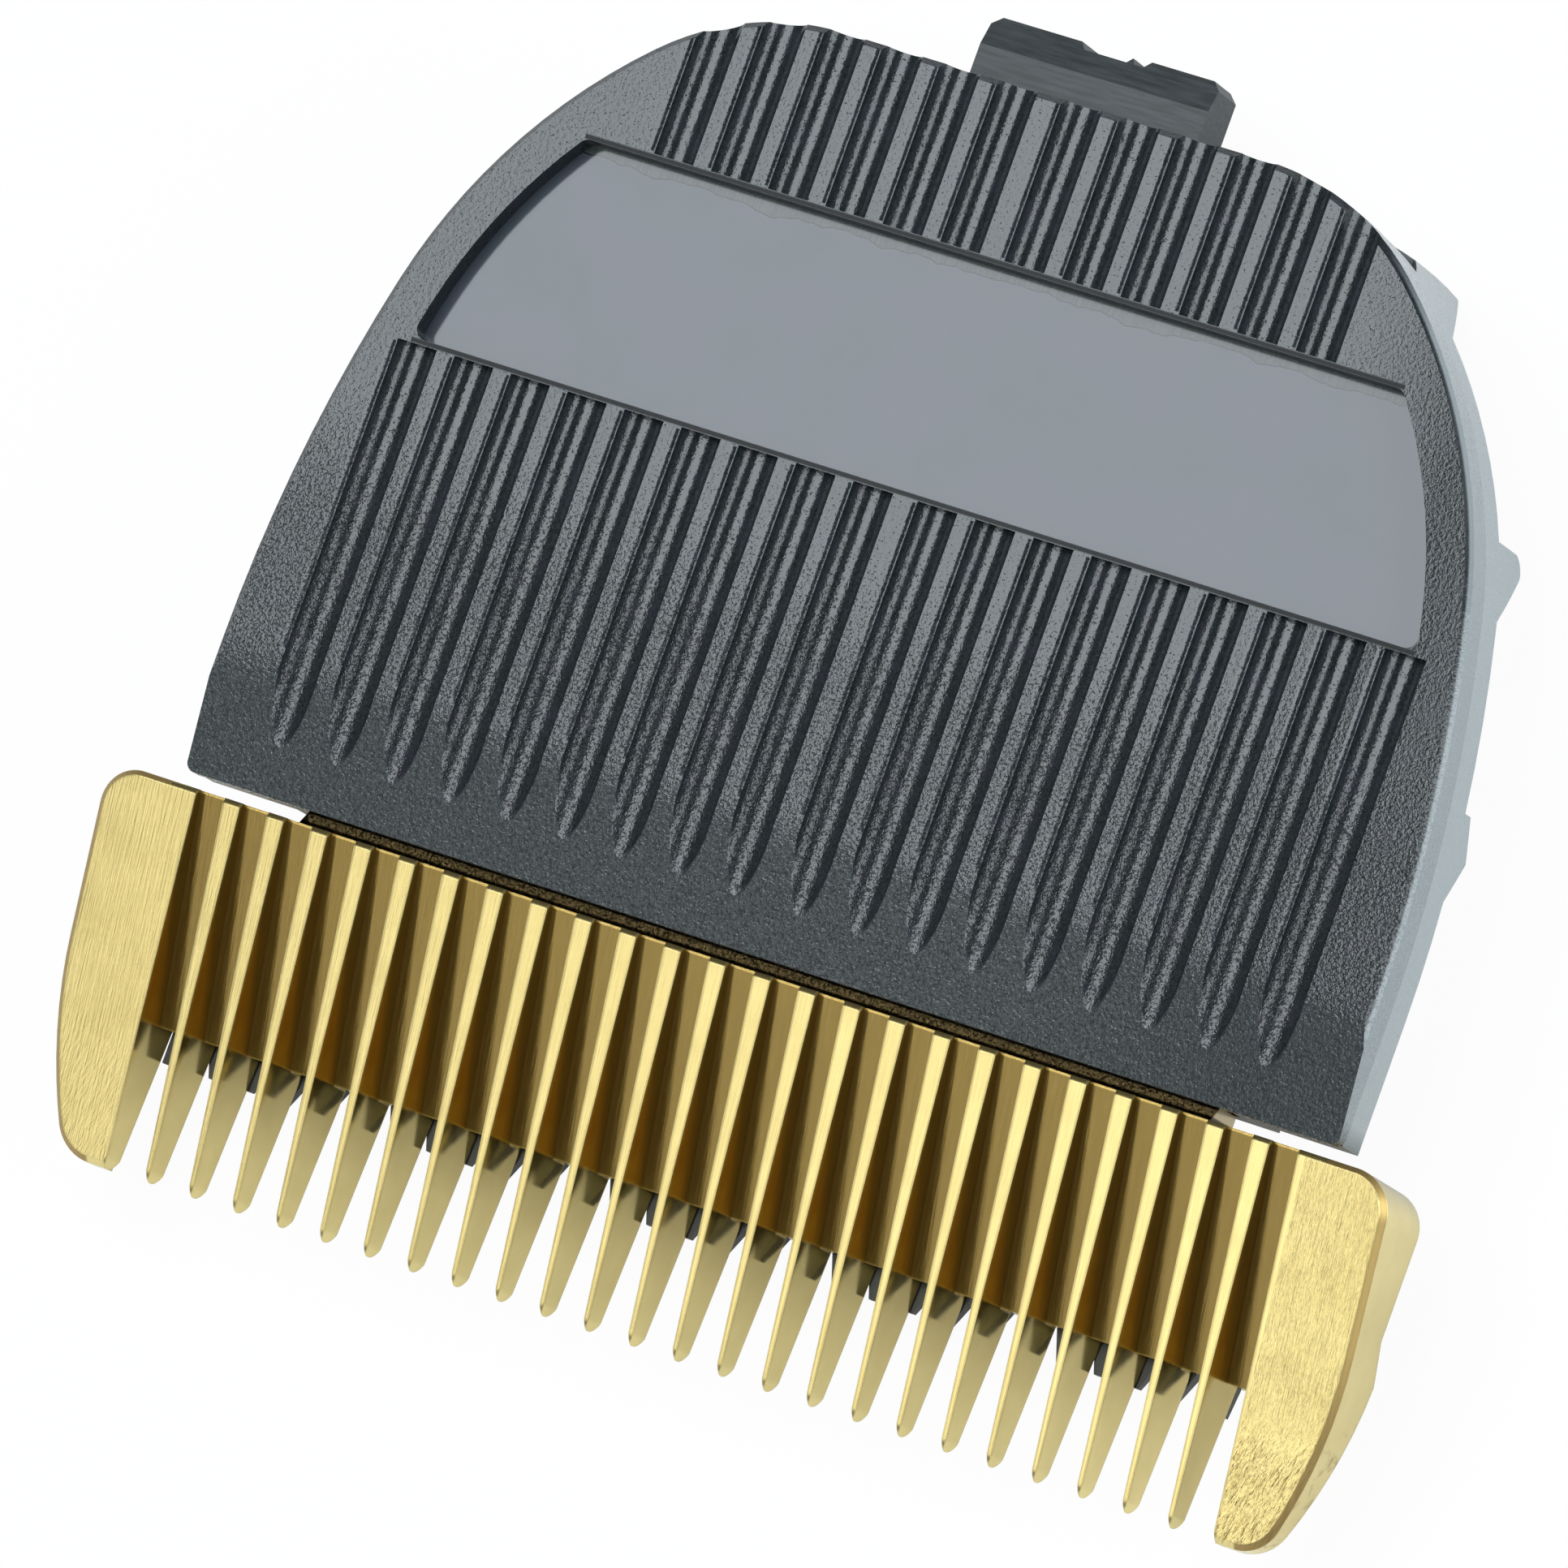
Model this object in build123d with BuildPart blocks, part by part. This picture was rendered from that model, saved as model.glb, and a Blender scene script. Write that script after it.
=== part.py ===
"""Detachable blade cassette of a hair clipper, lying on its back with the comb teeth towards -Y.

X runs along the cutting edge, Y from the tooth tips to the mounting hook, Z out of the grooved
front. The rear rim stands on Z = 0 and the origin is under the middle of the cassette.
"""
import os
from math import atan, cos, radians, sin, sqrt, tan

from build123d import *

os.makedirs("parts", exist_ok=True)

# Comb (fixed blade), seen from the front
TOOTH_PITCH = 1.6
TOOTH_COUNT = 24
COMB_WIDTH = 46.0
COMB_HEIGHT = 12.25
TIP_THICKNESS = 0.83
ROOT_THICKNESS = 4.72
RIDGE_TIP_WIDTH = 0.17
RIDGE_MID_WIDTH = 0.28
RIDGE_ROOT_WIDTH = 0.62
FLANK_TAPER = 4.5
TIP_TAPER_LENGTH = 0.35
TIP_FLAT = 0.12
SLOT_HEIGHT = 4.85
FLOOR_END_THICKNESS = 0.85
GROOVE_ROOT_DEPTH = 0.36
EAR_CORNER_RADIUS = 1.3
EAR_SIDE_HEIGHT = 6.7
EAR_TIP_WIDTH = 1.55
EAR_TIP_RADIUS = 1.4
EAR_RELIEF_HEIGHT = 6.2
EAR_RELIEF_RUN = 1.4
EAR_RELIEF_DEPTH = 0.8
COMB_EDGE_CHAMFER = 0.18

# Tang that carries the comb between the cover and the frame
TANG_WIDTH = 32.6
TANG_REACH = 6.4
TANG_THICKNESS = 1.6
TANG_STEP = 1.75
TANG_FIT = 0.05
NECK_SLOPE = 0.6

# Front cover
NECK_GAP = 0.5
COVER_WIDTH = 41.24
COVER_HEIGHT = 28.85
COVER_THICKNESS = 1.5
SIDE_RADIUS = 53.4
SIDE_TURN = 13.7
SHOULDER_RADIUS = 18.85
SHOULDER_TURN = 34.2
TOP_CORNER_RADIUS = 8.75
BOTTOM_CORNER_RADIUS = 0.3
COVER_EDGE_CHAMFER = 0.22
CHIN_HEIGHT = 3.95
CHIN_ANGLE = 14.0
PANEL_BOTTOM = 15.4
PANEL_HEIGHT = 7.75
PANEL_BORDER = 1.5
PANEL_DEPTH = 0.8
PANEL_CORNER_RADIUS = 0.4
CHANNEL_PITCH = 2.06
CHANNEL_MIDDLE_GAP = 2.29
CHANNEL_RADIUS = 0.72
CHANNEL_DEPTH = 0.59
CHANNEL_LAND = 0.18
LOWER_CHANNELS = 9
UPPER_CHANNELS = 6
SEAM = 0.1
SEAM_DEPTH = 1.2

# Rear frame
FLANGE_INSET = 0.08
FLANGE_THICKNESS = 1.65
SKIRT_HEIGHT = 5.75
SKIRT_INSET = 2.6
SKIRT_WALL = 1.2
SKIRT_START = 0.4
CROSSBAR_THICKNESS = 1.0
CROSSBAR_BORDER = 1.0
POCKET_CLEARANCE = 0.15
HOOK_WIDTH = 8.15
HOOK_RISE = 2.4
HOOK_PROUD = 0.28
HOOK_THICKNESS = 2.1
HOOK_ARM = 1.3
HOOK_NOSE = 2.1
HOOK_TAPER_HEIGHT = 1.05
HOOK_TAPER_DEPTH = 0.42
HOOK_SIDE_TAPER = 0.3
GATE_SCAR_X = 0.3
GATE_SCAR_WIDTH = 2.5
GATE_SCAR_DEPTH = 0.25
GATE_SCAR_SLOPE = 0.2
FLASH_X = 0.9
FLASH_WIDTH = 0.3
FLASH_HEIGHT = 0.2
TAB_WALL = 1.2
TAB_LAP = 0.3
UPPER_TAB_BOTTOM = 17.4
UPPER_TAB_HEIGHT = 2.45
UPPER_TAB_DEPTH = 3.08
UPPER_TAB_ROUND = 0.42
LOWER_TAB_BOTTOM = 8.5
LOWER_TAB_HEIGHT = 2.85
LOWER_TAB_DEPTH = 1.15
CORNER_TAB_START = 8.8
CORNER_TAB_REAR_END = 11.95
CORNER_TAB_FRONT_END = 14.35
CORNER_TAB_STRUT = 1.9
CORNER_TAB_POST = 0.7
CORNER_TAB_RIM = 0.35
CORNER_TAB_REACH = 5.6

# Screws that hold the tang to the crossbar
SCREW_SPACING = 22.0
SCREW_RISE = 3.6
SCREW_RADIUS = 0.95
SCREW_HEAD_RADIUS = 1.6
SCREW_HEAD_HEIGHT = 0.7
SCREW_HEAD_EDGE = 0.28
SCREW_FIT = 0.02
SCREW_HOLE_CLEARANCE = 0.15
SCREW_SLOT_WIDTH = 0.5
SCREW_SLOT_DEPTH = 0.3

# Moving blade and the yoke that drives it
CUTTER_PITCH = 1.333
CUTTER_TEETH = 29
CUTTER_SETBACK = 3.85
CUTTER_TOOTH_LENGTH = 1.4
CUTTER_TIP_WIDTH = 0.24
CUTTER_ROOT_WIDTH = 1.2
CUTTER_BODY = 6.75
CUTTER_THICKNESS = 0.9
CUTTER_TIP_THICKNESS = 0.3
CUTTER_GRIND = 2.2
CUTTER_END = 0.5
CUTTER_GAP = 0.1
CUTTER_REST_X = -0.53
STAKE_SPACING = 10.0
STAKE_RADIUS = 0.9
STAKE_INSET = 1.5
STAKE_FIT = 0.02
YOKE_WIDTH = 14.0
YOKE_LAP = 2.95
YOKE_LENGTH = 15.6
YOKE_CORNER = 1.5
WING_SPAN = 28.0
WING_HEIGHT = 3.0
WING_CLEARANCE = 0.3
DRIVE_SLOT_WIDTH = 4.6
DRIVE_SLOT_LENGTH = 7.0
DRIVE_SLOT_TOP = 1.6

# Wire springs that press the yoke forward
SPRING_WIRE = 0.55
SPRING_WIRE_SIDES = 6
SPRING_COIL_RADIUS = 1.55
SPRING_TURNS = 2
SPRING_GAP = 0.08
SPRING_X = 12.4
SPRING_LEVEL = 3.3
SPRING_RISE = 5.4
SPRING_TOUCH = 0.05
SPRING_BACK_LEG = 4.6
SPRING_REST_WIDTH = 1.0
SPRING_POST_RADIUS = 1.0
POST_CLEARANCE = 0.3
BRACKET_THICKNESS = 1.0
BRACKET_MARGIN = 0.6

# Stations along Y, from the tooth tips to the top of the hook
total_length = COMB_HEIGHT + NECK_GAP + COVER_HEIGHT + HOOK_RISE
tip_y = -total_length / 2
root_y = tip_y + COMB_HEIGHT
cover_y = root_y + NECK_GAP
cover_top_y = cover_y + COVER_HEIGHT
hook_top_y = cover_top_y + HOOK_RISE
slot_end_y = tip_y + SLOT_HEIGHT
tang_top_y = root_y + TANG_REACH

# Levels along Z, from the rear rim to the front of the cover
flange_z = SKIRT_HEIGHT
flange_top_z = flange_z + FLANGE_THICKNESS
cover_back_z = flange_top_z + SEAM
front_z = cover_back_z + COVER_THICKNESS
tang_top_z = flange_top_z - TANG_FIT
tang_z = tang_top_z - TANG_THICKNESS
cut_z = tang_z - TANG_STEP
crossbar_z = tang_z - TANG_FIT - CROSSBAR_THICKNESS
cutter_top_z = cut_z - CUTTER_GAP
cutter_z = cutter_top_z - CUTTER_THICKNESS

half_pitch = TOOTH_PITCH / 2
slot_count = TOOTH_COUNT + 1
flank_slope = tan(radians(FLANK_TAPER))
ear_inner_x = slot_count * half_pitch
comb_half = COMB_WIDTH / 2
relief_y = tip_y + EAR_RELIEF_HEIGHT
relief_z = cut_z + EAR_RELIEF_DEPTH

# The D-shaped outline of the cover: straight sides, two easy curves, a tight corner and a flat top
turn_1 = radians(SIDE_TURN)
turn_2 = radians(SIDE_TURN + SHOULDER_TURN)
corner_turn = 90 - SIDE_TURN - SHOULDER_TURN
top_half = (COVER_WIDTH / 2 - SIDE_RADIUS * (1 - cos(turn_1))
            - SHOULDER_RADIUS * (cos(turn_1) - cos(turn_2)) - TOP_CORNER_RADIUS * cos(turn_2))

with BuildSketch() as outline:
    with BuildLine():
        top = Line((0, cover_top_y), (top_half, cover_top_y))
        corner = JernArc(top @ 1, (1, 0), TOP_CORNER_RADIUS, -corner_turn)
        shoulder = JernArc(corner @ 1, corner % 1, SHOULDER_RADIUS, -SHOULDER_TURN)
        side = JernArc(shoulder @ 1, shoulder % 1, SIDE_RADIUS, -SIDE_TURN)
        edge = Line(side @ 1, ((side @ 1).X, cover_y))
        Line(edge @ 1, (0, cover_y))
        mirror(about=Plane.YZ)
    make_face()

with BuildSketch() as flange_outline:
    add(outline.sketch)
    offset(amount=-FLANGE_INSET, kind=Kind.INTERSECTION)

with BuildSketch() as skirt_outline:
    add(outline.sketch)
    offset(amount=-SKIRT_INSET, kind=Kind.INTERSECTION)

with BuildSketch() as skirt_inside:
    add(outline.sketch)
    offset(amount=-SKIRT_INSET - SKIRT_WALL, kind=Kind.INTERSECTION)

with BuildSketch() as panel_outline:
    add(outline.sketch)
    offset(amount=-PANEL_BORDER, kind=Kind.INTERSECTION)
    with Locations((0, cover_y + PANEL_BOTTOM + PANEL_HEIGHT / 2)):
        Rectangle(COVER_WIDTH, PANEL_HEIGHT, mode=Mode.INTERSECT)
    panel_rows = panel_outline.vertices().group_by(Axis.Y)
    fillet(panel_rows[0] + panel_rows[-1], PANEL_CORNER_RADIUS)

# Centres of the rounded channels, in two equal groups about a wider land in the middle
half_xs = [CHANNEL_MIDDLE_GAP / 2 + k * CHANNEL_PITCH for k in range(max(LOWER_CHANNELS, UPPER_CHANNELS))]
lower_xs = [sign * x for sign in (-1, 1) for x in half_xs[:LOWER_CHANNELS]]
upper_xs = [sign * x for sign in (-1, 1) for x in half_xs[:UPPER_CHANNELS]]
channel_axis_z = front_z - CHANNEL_DEPTH + CHANNEL_RADIUS
panel_y = cover_y + PANEL_BOTTOM
panel_top_y = panel_y + PANEL_HEIGHT
upper_length = cover_top_y - panel_top_y + HOOK_RISE
chin_drop = CHIN_HEIGHT * tan(radians(CHIN_ANGLE))

with BuildPart() as front_cover:
    with BuildSketch(Plane.XY.offset(cover_back_z)):
        add(outline.sketch)
    extrude(amount=COVER_THICKNESS)
    bottom_corners = front_cover.edges().filter_by(Axis.Z).group_by(Axis.Y)[0]
    fillet(bottom_corners, BOTTOM_CORNER_RADIUS)
    rim = front_cover.faces().sort_by(Axis.Z)[-1].edges()
    chamfer(rim, COVER_EDGE_CHAMFER)
    # The lower strip of the front slopes back towards the comb
    with BuildSketch(Plane.YZ):
        with BuildLine():
            Polyline((cover_y + CHIN_HEIGHT, front_z), (cover_y, front_z - chin_drop),
                     (cover_y - NECK_GAP, front_z - chin_drop), (cover_y - NECK_GAP, front_z + SEAM),
                     (cover_y + CHIN_HEIGHT, front_z + SEAM), close=True)
        make_face()
    extrude(amount=COVER_WIDTH, both=True, mode=Mode.SUBTRACT)
    # Recessed smooth panel between the two groups of channels
    with BuildSketch(Plane.XY.offset(front_z)):
        add(panel_outline.sketch)
    extrude(amount=-PANEL_DEPTH, mode=Mode.SUBTRACT)
    # Lower channels run out on the sloping strip, upper ones run over the top edge
    with BuildSketch(Plane.XZ.offset(CHANNEL_LAND - panel_y)):
        with Locations(*[(x, channel_axis_z) for x in lower_xs]):
            Circle(CHANNEL_RADIUS)
    extrude(amount=PANEL_BOTTOM, mode=Mode.SUBTRACT)
    with BuildSketch(Plane.XZ.offset(-panel_top_y - CHANNEL_LAND)):
        with Locations(*[(x, channel_axis_z) for x in upper_xs]):
            Circle(CHANNEL_RADIUS)
    extrude(amount=-upper_length, mode=Mode.SUBTRACT)
    # Raised back that seats on the frame and leaves a shadow line around the edge
    with BuildSketch(Plane.XY.offset(cover_back_z)):
        add(outline.sketch)
        offset(amount=-SEAM_DEPTH, kind=Kind.INTERSECTION, mode=Mode.REPLACE)
    extrude(amount=-SEAM)
front_cover.part.label = "front_cover"
export_step(front_cover.part, "parts/front_cover.step")

# Skirt, crossbar and pocket of the frame
skirt_y = cover_y + SKIRT_INSET + SKIRT_WALL + SKIRT_START
pocket_width = TANG_WIDTH + 2 * POCKET_CLEARANCE
pocket_top_y = tang_top_y + POCKET_CLEARANCE
crossbar_y = cover_y + FLANGE_INSET
crossbar_width = pocket_width + 2 * CROSSBAR_BORDER
screw_xs = (-SCREW_SPACING / 2, SCREW_SPACING / 2)
screw_y = root_y + SCREW_RISE

# Hook levels: the arm leaves the frame just under the flange
hook_front_z = flange_z + HOOK_PROUD
hook_back_z = hook_front_z - HOOK_THICKNESS
skirt_top_y = cover_top_y - SKIRT_INSET - SKIRT_WALL
scar_left = GATE_SCAR_X - GATE_SCAR_WIDTH / 2
scar_right = GATE_SCAR_X + GATE_SCAR_WIDTH / 2
scar_y = hook_top_y - GATE_SCAR_DEPTH

# Springs sit on posts; each post stands on a bracket that hangs from the flange
coil_length = SPRING_TURNS * (SPRING_WIRE + SPRING_GAP)
coil_outer = SPRING_COIL_RADIUS + SPRING_WIRE / 2
spring_y = tang_top_y + SPRING_RISE
bracket_x = SPRING_X + (coil_length + SPRING_WIRE) / 2 + POST_CLEARANCE
post_length = coil_length + SPRING_WIRE + 2 * POST_CLEARANCE
leg_z = SPRING_LEVEL - SPRING_COIL_RADIUS
rest_y = spring_y + SPRING_BACK_LEG - SPRING_REST_WIDTH
rest_z = leg_z + SPRING_WIRE / 2 + SPRING_TOUCH
bracket_width = 2 * (SPRING_POST_RADIUS + BRACKET_MARGIN)
bracket_back_z = SPRING_LEVEL - bracket_width / 2

# Tabs that hang from the flange in the plane of its edge: a leaning strut with a window at each upper
# corner, a rounded tab below it and a low one beside the chin
tab_top_z = flange_z + TAB_LAP
corner_slant = (CORNER_TAB_FRONT_END - CORNER_TAB_REAR_END) / SKIRT_HEIGHT
window_x = CORNER_TAB_START + CORNER_TAB_POST
window_rear_x = CORNER_TAB_REAR_END + corner_slant * CORNER_TAB_RIM - CORNER_TAB_STRUT
window_front_x = CORNER_TAB_FRONT_END - CORNER_TAB_STRUT
upper_tab_y = cover_y + UPPER_TAB_BOTTOM
upper_tab_top_y = upper_tab_y + UPPER_TAB_HEIGHT
lower_tab_y = cover_y + LOWER_TAB_BOTTOM
lower_tab_top_y = lower_tab_y + LOWER_TAB_HEIGHT

with BuildPart() as wall_tabs:
    with BuildSketch(Plane.XZ.offset(-cover_top_y)):
        with BuildLine():
            Polyline((CORNER_TAB_START, 0), (CORNER_TAB_REAR_END, 0), (CORNER_TAB_FRONT_END, flange_z),
                     (CORNER_TAB_FRONT_END, tab_top_z), (CORNER_TAB_START, tab_top_z), close=True)
        make_face()
        with BuildLine():
            Polyline((window_x, CORNER_TAB_RIM), (window_rear_x, CORNER_TAB_RIM),
                     (window_front_x, flange_z), (window_x, flange_z), close=True)
        make_face(mode=Mode.SUBTRACT)
    extrude(amount=CORNER_TAB_REACH)
    with BuildSketch(Plane.YZ) as upper_tab:
        with BuildLine():
            Polyline((upper_tab_y, tab_top_z), (upper_tab_y, flange_z),
                     (upper_tab_top_y, flange_z - UPPER_TAB_DEPTH), (upper_tab_top_y, tab_top_z),
                     close=True)
        make_face()
        fillet(upper_tab.vertices().sort_by(Axis.Y)[0], UPPER_TAB_ROUND)
    extrude(amount=COVER_WIDTH / 2)
    with BuildSketch(Plane.YZ):
        with BuildLine():
            Polyline((lower_tab_y, tab_top_z), (lower_tab_y, flange_z),
                     (lower_tab_y + LOWER_TAB_HEIGHT / 2, flange_z - LOWER_TAB_DEPTH),
                     (lower_tab_top_y, flange_z - LOWER_TAB_DEPTH / 2), (lower_tab_top_y, tab_top_z),
                     close=True)
        make_face()
    extrude(amount=COVER_WIDTH / 2)
    with BuildSketch():
        add(flange_outline.sketch)
        offset(amount=-TAB_WALL, kind=Kind.INTERSECTION, mode=Mode.SUBTRACT)
    extrude(amount=tab_top_z, mode=Mode.INTERSECT)
    mirror(about=Plane.YZ)

with BuildPart() as rear_frame:
    with BuildSketch(Plane.XY.offset(flange_z)):
        add(flange_outline.sketch)
        with Locations((0, pocket_top_y)):
            Rectangle(pocket_width, TANG_REACH + NECK_GAP + POCKET_CLEARANCE,
                      align=(Align.CENTER, Align.MAX), mode=Mode.SUBTRACT)
    extrude(amount=FLANGE_THICKNESS)
    # Crossbar behind the tang
    with BuildSketch(Plane.XY.offset(crossbar_z)):
        with Locations((0, crossbar_y)):
            Rectangle(crossbar_width, pocket_top_y + CROSSBAR_BORDER - crossbar_y,
                      align=(Align.CENTER, Align.MIN))
    extrude(amount=CROSSBAR_THICKNESS)
    with BuildSketch(Plane.XY.offset(crossbar_z)):
        with Locations((0, crossbar_y)):
            Rectangle(crossbar_width, pocket_top_y + CROSSBAR_BORDER - crossbar_y,
                      align=(Align.CENTER, Align.MIN))
        with Locations((0, pocket_top_y)):
            Rectangle(pocket_width, pocket_top_y - crossbar_y + CROSSBAR_BORDER,
                      align=(Align.CENTER, Align.MAX), mode=Mode.SUBTRACT)
    extrude(amount=flange_z - crossbar_z)
    # Rear skirt, open towards the teeth
    with BuildSketch():
        add(skirt_outline.sketch)
        add(skirt_inside.sketch, mode=Mode.SUBTRACT)
        with Locations((0, skirt_y)):
            Rectangle(COVER_WIDTH, COVER_HEIGHT, align=(Align.CENTER, Align.MIN), mode=Mode.INTERSECT)
    extrude(amount=SKIRT_HEIGHT)
    # Mounting hook: an arm under the flange with a tapered nose
    with BuildSketch(Plane.YZ):
        with BuildLine():
            Polyline((skirt_top_y, hook_front_z), (hook_top_y - HOOK_TAPER_HEIGHT, hook_front_z),
                     (hook_top_y, hook_front_z - HOOK_TAPER_DEPTH), (hook_top_y, hook_back_z),
                     (hook_top_y - HOOK_NOSE, hook_back_z),
                     (hook_top_y - HOOK_NOSE, hook_front_z - HOOK_ARM),
                     (skirt_top_y, hook_front_z - HOOK_ARM), close=True)
        make_face()
    extrude(amount=HOOK_WIDTH / 2, both=True)
    hook_corners = rear_frame.edges().filter_by(Axis.Z).group_by(Axis.Y)[-1]
    chamfer(hook_corners, HOOK_SIDE_TAPER)
    # Scar of the moulding gate on the hook's top edge, with a spike of flash left standing in it
    with BuildSketch(Plane.XY.offset(hook_back_z)):
        with BuildLine():
            Polyline((scar_left, hook_top_y), (scar_left + GATE_SCAR_SLOPE, scar_y),
                     (FLASH_X - FLASH_WIDTH / 2, scar_y), (FLASH_X, scar_y + FLASH_HEIGHT),
                     (FLASH_X + FLASH_WIDTH / 2, scar_y), (scar_right - GATE_SCAR_SLOPE, scar_y),
                     (scar_right, hook_top_y), close=True)
        make_face()
    extrude(amount=HOOK_THICKNESS, mode=Mode.SUBTRACT)
    add(wall_tabs.part)
    # Spring posts on their brackets, and the ribs that the springs' back legs bear on
    for side_sign in (-1, 1):
        with BuildSketch(Plane.YZ.offset(side_sign * bracket_x)):
            with Locations((spring_y, flange_z)):
                Rectangle(bracket_width, flange_z - bracket_back_z, align=(Align.CENTER, Align.MAX))
            with Locations((rest_y, flange_z)):
                Rectangle(SPRING_REST_WIDTH, flange_z - rest_z, align=(Align.MIN, Align.MAX))
        extrude(amount=BRACKET_THICKNESS, dir=(side_sign, 0, 0))
        with BuildSketch(Plane.YZ.offset(side_sign * bracket_x)):
            with Locations((rest_y, flange_z)):
                Rectangle(SPRING_REST_WIDTH, flange_z - rest_z, align=(Align.MIN, Align.MAX))
        extrude(amount=post_length, dir=(-side_sign, 0, 0))
        with BuildSketch(Plane.YZ.offset(side_sign * bracket_x)):
            with Locations((spring_y, SPRING_LEVEL)):
                Circle(SPRING_POST_RADIUS)
        extrude(amount=post_length, dir=(-side_sign, 0, 0))
    # Screw holes through the crossbar
    with BuildSketch(Plane.XY.offset(crossbar_z)):
        with Locations(*[(x, screw_y) for x in screw_xs]):
            Circle(SCREW_RADIUS + SCREW_HOLE_CLEARANCE)
    extrude(amount=CROSSBAR_THICKNESS, mode=Mode.SUBTRACT)
rear_frame.part.label = "rear_frame"
export_step(rear_frame.part, "parts/rear_frame.step")

# Front slope of the comb, and the full round that joins it to the cutting plane at the tooth tips
front_slope = (ROOT_THICKNESS - TIP_THICKNESS) / COMB_HEIGHT
front_angle = atan(front_slope)
nose_radius = TIP_THICKNESS / (1 - front_slope + sqrt(1 + front_slope**2))
nose_front_y = tip_y + nose_radius * (1 - sin(front_angle))
nose_front_z = cut_z + nose_radius * (1 + cos(front_angle))

# Half widths of a slot where it meets the cutting plane, at tip, slot end and root
slot_end_thickness = TIP_THICKNESS + front_slope * SLOT_HEIGHT
slot_tip_half = half_pitch - RIDGE_TIP_WIDTH / 2 - TIP_THICKNESS * flank_slope
slot_mid_half = half_pitch - RIDGE_MID_WIDTH / 2 - slot_end_thickness * flank_slope
slot_root_half = half_pitch - RIDGE_ROOT_WIDTH / 2 - ROOT_THICKNESS * flank_slope

# Tool that grinds one slot: it widens towards the front and tapers the tooth tips on both sides.
# A prism that leans one way is cut with its mirror image, which leaves plane flanks.
with BuildPart() as slot_tool:
    with BuildSketch(Plane.XY.offset(cut_z)):
        with BuildLine():
            Polyline((-2 * TOOTH_PITCH, cover_y), (slot_root_half, cover_y), (slot_root_half, root_y),
                     (slot_mid_half, slot_end_y), (slot_tip_half, tip_y + TIP_TAPER_LENGTH),
                     (half_pitch - TIP_FLAT / 2, tip_y), (half_pitch - TIP_FLAT / 2, tip_y - TIP_THICKNESS),
                     (-2 * TOOTH_PITCH, tip_y - TIP_THICKNESS), close=True)
        make_face()
    extrude(amount=ROOT_THICKNESS + TIP_THICKNESS, dir=(flank_slope, 0, 1))
    mirror(about=Plane.YZ, mode=Mode.INTERSECT)

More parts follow.
